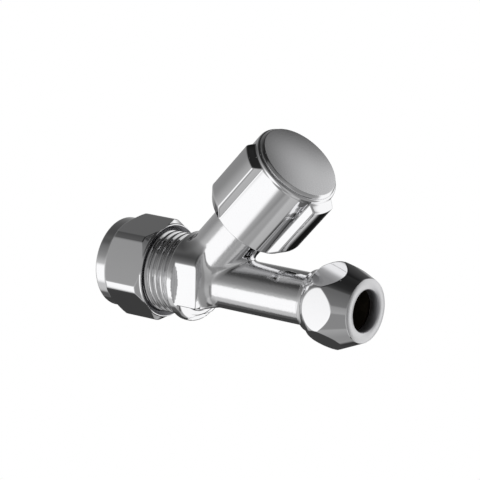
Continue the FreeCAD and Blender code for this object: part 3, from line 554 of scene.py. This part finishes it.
# Cap: crown as a shallow dome, then the outline from its bevel to the spigot in the handle. LID_LEAN is
# how much the lid's shading leans outwards for each millimetre from its middle.
CAP_TOP = 46.15
CROWN_RADIUS = 10.3
CROWN_DROP = 0.28
CROWN_POINTS = np.linspace(0.02, 10.28, 26)
CAP_BEVEL = [(45.83, 10.38), (45.76, 10.46), (45.2, 10.88), (45.08, 10.93), (44.98, 10.86)]
CAP_BOTTOM = [(44.97, 9.15), (43.3, 9.15), (43.3, 8.3), (44.97, 8.2), (44.97, 0.02)]
CAP_SPACING = 0.6
CAP_COLUMNS = 320
LID_FROM = 45.84
LID_LEAN = 0.011


def lobe_plan(angle):
    """Outer radius of the handle's plan outline at an angle, without the end slopes."""
    best = None
    for i in range(LOBES):
        turned = angle - math.radians(LOBE_FIRST + LOBE_APART * i)
        off_middle = np.abs(np.arctan2(np.sin(turned), np.cos(turned)))
        flank = LOBE_FLANK_RADIUS + (LOBE_HALF_ANGLE - off_middle) * LOBE_FLANK_SLOPE
        lobe = smooth_min(LOBE_RADIUS + 0 * off_middle, flank, LOBE_FLANK_ROUND)
        best = lobe if best is None else np.maximum(best, lobe)
    return smooth_max(best, SKIRT_RADIUS + 0 * angle, LOBE_ROOT_ROUND)


def handle_shape(along, out, angle):
    """Three lobes with sloped ends on the handle's outer wall."""
    plan = lobe_plan(angle) + 0 * along
    top = LOBE_TOP_RADIUS + (LOBE_TOP - along) * LOBE_TOP_SLOPE
    bottom = LOBE_BOTTOM_RADIUS + (along - LOBE_BOTTOM) * LOBE_BOTTOM_SLOPE
    lobe = smooth_min(smooth_min(plan, top, LOBE_TOP_ROUND), bottom, LOBE_BOTTOM_ROUND)
    outer = smooth_max(lobe, out + 0 * angle, LOBE_BOTTOM_ROUND)
    return np.where(out > LOBED_FROM, np.minimum(outer, LOBE_RADIUS), out + 0 * angle)


def make_handle():
    """Chromed handle: skirt, lobes, rim and hollow."""
    profile = [(SKIRT_START, SKIRT_START_OUTER), (SKIRT_EDGE, SKIRT_RADIUS)]
    profile += [(HANDLE_TOP_EDGE_CENTRE[0], SKIRT_RADIUS)]
    profile += arc(HANDLE_TOP_EDGE_CENTRE, HANDLE_TOP_EDGE, 90, 10, 6)[1:]
    profile += [(HANDLE_TOP, HANDLE_TOP_OUTER), (HANDLE_TOP, CAP_SEAT_RADIUS), (CAP_SEAT, CAP_SEAT_RADIUS)]
    profile += [(CAP_SEAT, SCREW_HOLE), (CEILING, SCREW_HOLE), (CEILING, BOSS_BORE), (BOSS_END, BOSS_BORE)]
    profile += [(BOSS_END, BOSS_RADIUS), (CEILING, BOSS_RADIUS), (CEILING, SKIRT_BORE)]
    profile += [(SKIRT_EDGE, SKIRT_BORE), (SKIRT_START, SKIRT_START_INNER)]
    profile = refined(profile, HANDLE_SPACING, HANDLE_FINE_FROM)
    points, faces = turned_grid(profile, HANDLE_COLUMNS, handle_shape)
    return new_object("handle_surface", on_spindle(points), faces)


def make_handle_cap():
    """Satin lid with a bevelled edge and a low crown, shaded as a dome without rings."""
    profile = [(CAP_TOP - (r / CROWN_RADIUS) ** 2 * CROWN_DROP, r) for r in CROWN_POINTS]
    profile = refined(profile + CAP_BEVEL + CAP_BOTTOM, CAP_SPACING)
    points, faces = turned_grid(profile, CAP_COLUMNS)
    piece = new_object("handle_cap_surface", on_spindle(points), faces)
    normals = own_normals(piece)
    lid = points[:, 0] > LID_FROM
    outward = points[lid, 1:2] * SIDE + points[lid, 2:3] * DOWN
    normals[lid] = ALONG + outward * LID_LEAN
    piece.data.normals_split_custom_set_from_vertices(unit(normals).tolist())
    return piece


# Materials: lengths are metres here, and noise scales are per metre
CHROME_COLOR = (0.86, 0.86, 0.87)
SATIN_COLOR = (0.66, 0.66, 0.67)
CLOUD_SCALE = 160.0
CLOUD_DETAIL = 3.0
ROUGHNESS_SPREAD = 0.2
BUMP_DISTANCE = 0.0001


def material(name, color, roughness, metallic=1.0, bump=0.1, bump_scale=1500.0, wear=0.03):
    """A procedural surface: base colour with slight cloudiness, uneven roughness, fine bump."""
    made = bpy.data.materials.new(name)
    made.use_nodes = True
    nodes = made.node_tree.nodes
    links = made.node_tree.links
    shader = nodes["Principled BSDF"]
    shader.inputs["Metallic"].default_value = metallic
    place = nodes.new("ShaderNodeTexCoord")
    cloud = nodes.new("ShaderNodeTexNoise")
    cloud.inputs["Scale"].default_value = CLOUD_SCALE
    cloud.inputs["Detail"].default_value = CLOUD_DETAIL
    links.new(place.outputs["Object"], cloud.inputs["Vector"])
    tint = nodes.new("ShaderNodeMix")
    tint.data_type = "RGBA"
    tint.inputs[6].default_value = (*[c * (1 - wear) for c in color], 1)
    tint.inputs[7].default_value = (*[min(1, c * (1 + wear)) for c in color], 1)
    links.new(cloud.outputs["Fac"], tint.inputs["Factor"])
    links.new(tint.outputs[2], shader.inputs["Base Color"])
    spread = nodes.new("ShaderNodeMapRange")
    spread.inputs["To Min"].default_value = roughness * (1 - ROUGHNESS_SPREAD)
    spread.inputs["To Max"].default_value = roughness * (1 + ROUGHNESS_SPREAD)
    links.new(cloud.outputs["Fac"], spread.inputs["Value"])
    links.new(spread.outputs["Result"], shader.inputs["Roughness"])
    grain = nodes.new("ShaderNodeTexNoise")
    grain.inputs["Scale"].default_value = bump_scale
    links.new(place.outputs["Object"], grain.inputs["Vector"])
    relief = nodes.new("ShaderNodeBump")
    relief.inputs["Strength"].default_value = bump
    relief.inputs["Distance"].default_value = BUMP_DISTANCE
    links.new(grain.outputs["Fac"], relief.inputs["Height"])
    links.new(relief.outputs["Normal"], shader.inputs["Normal"])
    return made


chrome = material("polished_chrome", CHROME_COLOR, 0.05, bump=0.02, bump_scale=250.0, wear=0.01)
cast_chrome = material("cast_chrome", CHROME_COLOR, 0.1, bump=0.16, bump_scale=1600.0, wear=0.02)
satin = material("satin_chrome", SATIN_COLOR, 0.2, bump=0.05, bump_scale=2500.0, wear=0.02)
turned_face = material("turned_face", SATIN_COLOR, 0.38, bump_scale=2500.0, wear=0.02)
# Darker grey metal for the hollows: its darker colour is painted shade of the ways and bores, on a rougher
# finish
painted_shade_bore = material("painted_shade_bore", (0.5, 0.5, 0.52), 0.5, bump=0.15, bump_scale=900.0, wear=0.1)
shaded_mouth = material("shaded_mouth", (0.16, 0.16, 0.17), 0.35, wear=0.08)
dull_brass = material("dull_brass", (0.12, 0.1, 0.07), 0.5, wear=0.08)
grey_brass = material("grey_brass", (0.24, 0.21, 0.17), 0.4, wear=0.06)
brass = material("turned_brass", (0.78, 0.58, 0.28), 0.25, wear=0.05)
steel = material("stainless_steel", (0.6, 0.6, 0.6), 0.25)
rubber = material("black_rubber", (0.02, 0.02, 0.02), 0.6, metallic=0.0, wear=0.1)
fibre = material("pressed_fibre", (0.4, 0.16, 0.1), 0.7, metallic=0.0, bump=0.2, wear=0.1)
plastic = material("slide_plastic", (0.8, 0.79, 0.75), 0.35, metallic=0.0, bump=0.03, bump_scale=900.0)

# Each surface with its slot in the part's record and the nodes that have it
SURFACES = [
    (cast_chrome, "chrome", ["valve_body"]),
    (chrome, "chrome", ["inlet_nut", "outlet_nut", "handle"]),
    (satin, "satin_chrome", ["handle_cap"]),
    (brass, "brass", ["spindle", "plunger"]),
    (grey_brass, "brass", ["bonnet"]),
    (dull_brass, "brass", ["inlet_olive", "outlet_olive"]),
    (steel, "steel", ["spindle_clip", "washer_retainer", "washer_screw", "handle_screw", "screw_washer"]),
    (rubber, "rubber", ["stem_ring_lower", "stem_ring_upper", "plunger_ring", "seat_washer"]),
    (fibre, "fibre", ["bonnet_seal"]),
    (plastic, "slide_plastic", ["thrust_washer", "handle_insert"]),
]

# Limits of faces that look different, some of them with painted shade: places along the pipe, radii, and a
# height up the spindle
POLISHED_TO = BLOCK_END - 0.3
# Faces of the body inside these limits, in its ways, take painted shade
DARK_OUTLET_FROM = 22.0
DARK_OUTLET_RADIUS = 5.6
DARK_INLET_TO = 13.0
DARK_INLET_RADIUS = 8.0
MOUTH_RADIUS = 11.62
RING_FACE_FROM = 66.42
RING_FACE_INNER = 5.4
NUT_BORE_INNER = 6.0
BRIGHT_EDGE_TO = 45.8


def in_the_ways(x, r, along):
    """Whether faces of the body are inside the outlet's or the inlet's way."""
    outlet = (x > DARK_OUTLET_FROM) & (r < DARK_OUTLET_RADIUS)
    inlet = (x < DARK_INLET_TO) & (r < DARK_INLET_RADIUS)
    return outlet | inlet


SPECIAL_FACES = {
    "inlet_nut": [(shaded_mouth, lambda x, r, along: (x > 0) & (r < MOUTH_RADIUS))],
    # The body's faces inside its ways take the darker metal with painted shade
    "valve_body": [(chrome, lambda x, r, along: x < POLISHED_TO), (painted_shade_bore, in_the_ways)],
    "outlet_nut": [(turned_face, lambda x, r, along: (x > RING_FACE_FROM) & (r > RING_FACE_INNER)),
                   # The outlet nut's chrome bore takes the darker metal with painted shade
                   (painted_shade_bore, lambda x, r, along: (x < RING_FACE_FROM) & (r < NUT_BORE_INNER))],
    "handle_cap": [(chrome, lambda x, r, along: along < BRIGHT_EDGE_TO)],
}


def mark_faces(piece, chosen):
    """Give the newest material to chosen faces: by place and radius on the pipe, and by spindle height."""
    count = len(piece.data.polygons)
    centres = np.empty(count * 3)
    piece.data.polygons.foreach_get("center", centres)
    given = np.zeros(count, np.int32)
    piece.data.polygons.foreach_get("material_index", given)
    x, y, z = (centres.reshape(-1, 3) / MM).T
    along = (x - CROSSING[0]) * ALONG[0] + z * ALONG[2]
    given[chosen(x, np.hypot(y, z), along)] = len(piece.data.materials) - 1
    piece.data.polygons.foreach_set("material_index", given)


BUILDERS = {
    "valve_body": ("housing", make_valve_body),
    "inlet_nut": ("inlet_cap_nut", make_inlet_nut),
    "outlet_nut": ("outlet_cap_nut", make_outlet_nut),
    "handle": ("stem", make_handle),
    "handle_cap": ("stem", make_handle_cap),
}

for surface, slot_name, nodes in SURFACES:
    for node in nodes:
        if node in BUILDERS:
            rider, build = BUILDERS[node]
            piece = build()
            piece.data.materials.append(surface)
            for other, chosen in SPECIAL_FACES.get(node, []):
                piece.data.materials.append(other)
                mark_faces(piece, chosen)
            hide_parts(node)
            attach(piece, rider)
        else:
            solid = bpy.data.objects[node]
            solid.data.materials.clear()
            solid.data.materials.append(surface)


# Light, floor and camera
WORLD_LIGHT = 0.8
WORLD_SEEN = 1.0


def backdrop_world():
    """White surroundings, seen as such directly, in metal and through clear things."""
    world = bpy.data.worlds.new("studio")
    bpy.context.scene.world = world
    world.use_nodes = True
    nodes = world.node_tree.nodes
    links = world.node_tree.links
    base = nodes["Background"]
    base.inputs["Color"].default_value = (1, 1, 1, 1)
    base.inputs["Strength"].default_value = WORLD_LIGHT
    seen = nodes.new("ShaderNodeBackground")
    seen.inputs["Color"].default_value = (1, 1, 1, 1)
    seen.inputs["Strength"].default_value = WORLD_SEEN
    links.new(seen_rays(nodes, links), mixer(nodes, links, base, seen, "World Output"))


def seen_rays(nodes, links):
    """One where a ray comes from the camera, from gloss or through a clear thing."""
    path = nodes.new("ShaderNodeLightPath")
    total = path.outputs["Is Camera Ray"]
    for name in ("Is Glossy Ray", "Is Transmission Ray"):
        larger = nodes.new("ShaderNodeMath")
        larger.operation = "MAXIMUM"
        links.new(total, larger.inputs[0])
        links.new(path.outputs[name], larger.inputs[1])
        total = larger.outputs[0]
    return total


def mixer(nodes, links, unseen, seen, output):
    """Put a mix of two shaders on the output, and return the socket of its factor."""
    mix = nodes.new("ShaderNodeMixShader")
    links.new(unseen.outputs[0], mix.inputs[1])
    links.new(seen.outputs[0], mix.inputs[2])
    links.new(mix.outputs[0], nodes[output].inputs["Surface"])
    return mix.inputs[0]


# The studio that the chrome mirrors, in degrees. Azimuth 0 is -Y and 90 is +X.
# A window is (left, right, low, high, edge), and its effect fades out over the edge around it.
TONE_BY_ELEVATION = [(-80, 0.30), (-52, 0.40), (-38, 0.45), (-22, 0.47), (-8, 0.40), (7, 0.33),
                     (22, 0.225), (37, 0.145), (50, 0.095), (60, 0.045), (67, 0.025), (82, 0.018)]
# Share by which the tone rises or falls in a window
SHADES = [
    (-0.32, (64, 108, -48, -2, 18)),
    (-0.25, (-150, -85, 25, 75, 30)),
    (0.5, (30, 62, -76, -58, 10)),
    (-0.75, (78, 110, -80, -62, 12)),
    (-0.5, (-55, -12, 44, 60, 14)),
    (-0.62, (-178, -150, 18, 64, 12)),
]
CORNER_SHADE = 0.88
DARK_CORNER = (-178, -106, -62, -22, 14)
LOW_CORNER = (-120, -84, -74, -50, 10)
LOW_CORNER_SHARE = 0.85
FRONT_STRIP = (-2, 16, -51, -10, 4)
FRONT_STRIP_TONE = 0.265
UPPER_STRIP = (-8, 24, 14, 53, 4)
UPPER_STRIP_TONE = 0.19
UPPER_STRIP_FALL = 0.0015
SOFTBOX = (-50, -10, -42, -7, 9)
SOFTBOX_TONE = 1.12
SPILL = (-66, -10, -52, -5, 20)
SPILL_SHARE = 0.25
# Windows behind the object, where azimuth is measured from +Y towards -X
BACKDROP_TONE = 1.08
BACKDROP_LOW = (-46, -14, -46, 8, 13)
BACKDROP_HIGH = (-46, -12, 0, 24, 13)
BACKDROP_ABOVE = (-42, -16, 0, 36, 18)
ABOVE_SHARE = 0.6
BACK_SHADE = 0.85
BACK_PATCH = (0, 20, -60, -30, 8)

# Studio wall, with a point each ROOM_STEP degrees up to HIGHEST, and the floor
ROOM_RADIUS = 600.0
ROOM_CENTRE = (27.7, 0, 11)
ROOM_STEP = 2.0
HIGHEST = 89.0
FLOOR_LEVEL = -700.0
FLOOR_HALF = 9000.0
FLOOR_COLOR = (0.9, 0.9, 0.9, 1)
FLOOR_ROUGHNESS = 0.9


def soft_step(value, low, high):
    """Zero below low, one above high, smooth between."""
    f = np.clip((value - low) / (high - low), 0, 1)
    return f * f * (3 - 2 * f)


def window(azimuth, elevation, place):
    """One inside a window of directions, falling to zero over the edge outside it."""
    left, right, low, high, edge = place
    across = soft_step(azimuth, left - edge, left) * (1 - soft_step(azimuth, right, right + edge))
    upward = soft_step(elevation, low - edge, low) * (1 - soft_step(elevation, high, high + edge))
    return across * upward


def toward(level, tone, share):
    """The level brought to the tone by a share from 0 to 1."""
    return level + (tone - level) * share


def room_level(direction):
    """Brightness of the studio round the object, by direction."""
    azimuth = np.degrees(np.arctan2(direction[:, 0], -direction[:, 1]))
    elevation = np.degrees(np.arcsin(np.clip(direction[:, 2], -1, 1)))
    level = np.interp(elevation, *zip(*TONE_BY_ELEVATION))
    for share, place in SHADES:
        level = level * (1 + share * window(azimuth, elevation, place))
    dark_corner = window(azimuth, elevation, DARK_CORNER)
    low_corner = LOW_CORNER_SHARE * window(azimuth, elevation, LOW_CORNER)
    level = level * (1 - CORNER_SHADE * np.maximum(dark_corner, low_corner))
    level = toward(level, FRONT_STRIP_TONE, window(azimuth, elevation, FRONT_STRIP))
    strip_tone = UPPER_STRIP_TONE - UPPER_STRIP_FALL * (elevation - UPPER_STRIP[2])
    level = toward(level, strip_tone, window(azimuth, elevation, UPPER_STRIP))
    softbox = window(azimuth, elevation, SOFTBOX)
    spill = SPILL_SHARE * window(azimuth, elevation, SPILL)
    level = toward(level, SOFTBOX_TONE, np.maximum(softbox, spill))
    behind = np.degrees(np.arctan2(-direction[:, 0], direction[:, 1]))
    backdrop = np.maximum(window(behind, elevation, BACKDROP_LOW), window(behind, elevation, BACKDROP_HIGH))
    backdrop = np.maximum(backdrop, ABOVE_SHARE * window(behind, elevation, BACKDROP_ABOVE))
    level = toward(level, BACKDROP_TONE, backdrop)
    return level * (1 - BACK_SHADE * window(behind, elevation, BACK_PATCH))


def make_room():
    """A wide round studio wall, not seen by the camera, lit by its own tone."""
    azimuths = np.radians(np.arange(0, 360, ROOM_STEP))
    elevations = np.radians(np.arange(-HIGHEST, HIGHEST + 1, ROOM_STEP))
    points = []
    for e in elevations:
        for a in azimuths:
            points.append((math.sin(a) * math.cos(e), -math.cos(a) * math.cos(e), math.sin(e)))
    points = np.array(points)
    index = np.arange(len(points)).reshape(len(elevations), len(azimuths))
    right = np.roll(index, -1, axis=1)
    faces = np.stack([index[:-1], right[:-1], right[1:], index[1:]], -1).reshape(-1, 4)
    room = new_object("studio_wall", points * ROOM_RADIUS + np.array(ROOM_CENTRE), faces)
    colors = np.repeat(room_level(points)[:, None], 4, axis=1)
    colors[:, 3] = 1
    tone = room.data.color_attributes.new("tone", "FLOAT_COLOR", "POINT")
    tone.data.foreach_set("color", colors.ravel())
    made = bpy.data.materials.new("studio_wall")
    made.use_nodes = True
    nodes = made.node_tree.nodes
    links = made.node_tree.links
    nodes.clear()
    source = nodes.new("ShaderNodeVertexColor")
    source.layer_name = "tone"
    glow = nodes.new("ShaderNodeEmission")
    links.new(source.outputs["Color"], glow.inputs["Color"])
    output = nodes.new("ShaderNodeOutputMaterial")
    links.new(glow.outputs[0], output.inputs["Surface"])
    room.data.materials.append(made)
    room.visible_camera = False
    room.visible_shadow = False


def make_floor():
    """A plain white floor well below the object, which its pipes hold."""
    corners = [(-1, -1), (1, -1), (1, 1), (-1, 1)]
    points = [(x * FLOOR_HALF, y * FLOOR_HALF, FLOOR_LEVEL) for x, y in corners]
    floor = new_object("floor", points, [(0, 1, 2, 3)])
    made = bpy.data.materials.new("floor")
    made.use_nodes = True
    nodes = made.node_tree.nodes
    links = made.node_tree.links
    shader = nodes["Principled BSDF"]
    shader.inputs["Base Color"].default_value = FLOOR_COLOR
    shader.inputs["Roughness"].default_value = FLOOR_ROUGHNESS
    white = nodes.new("ShaderNodeEmission")
    white.inputs["Color"].default_value = (1, 1, 1, 1)
    links.new(seen_rays(nodes, links), mixer(nodes, links, shader, white, "Material Output"))
    floor.data.materials.append(made)


backdrop_world()
make_room()
make_floor()


# The photo's viewpoint, from a fit to points of the photo. The place is measured from the crossing in
# millimetres, and the clip distances are metres.
CAMERA_AZIMUTH = math.radians(37.667)
CAMERA_ELEVATION = math.radians(13.311)
CAMERA_ROLL = math.radians(1.1)
CAMERA_PLACE = np.array([442.15, -555.91, 177.60])
CAMERA_LENS = 218.07
SENSOR_WIDTH = 36.0
CLIP_START = 0.05
CLIP_END = 50.0


def place_camera():
    """The camera at the photo's viewpoint, with the photo's slight roll."""
    back = Vector((math.sin(CAMERA_AZIMUTH) * math.cos(CAMERA_ELEVATION),
                   -math.cos(CAMERA_AZIMUTH) * math.cos(CAMERA_ELEVATION),
                   math.sin(CAMERA_ELEVATION)))
    right = Vector((0, 0, 1)).cross(back).normalized()
    up = back.cross(right)
    rolled_right = right * math.cos(CAMERA_ROLL) + up * math.sin(CAMERA_ROLL)
    rolled_up = up * math.cos(CAMERA_ROLL) - right * math.sin(CAMERA_ROLL)
    lens = bpy.data.cameras.new("camera")
    lens.lens = CAMERA_LENS
    lens.sensor_width = SENSOR_WIDTH
    lens.clip_start = CLIP_START
    lens.clip_end = CLIP_END
    camera = bpy.data.objects.new("camera", lens)
    turn = Matrix((rolled_right, rolled_up, back)).transposed()
    position = Vector(CROSSING + CAMERA_PLACE) * MM
    camera.matrix_world = Matrix.Translation(position) @ turn.to_4x4()
    bpy.context.collection.objects.link(camera)
    bpy.context.scene.camera = camera


place_camera()
bpy.context.scene.view_settings.view_transform = "Standard"
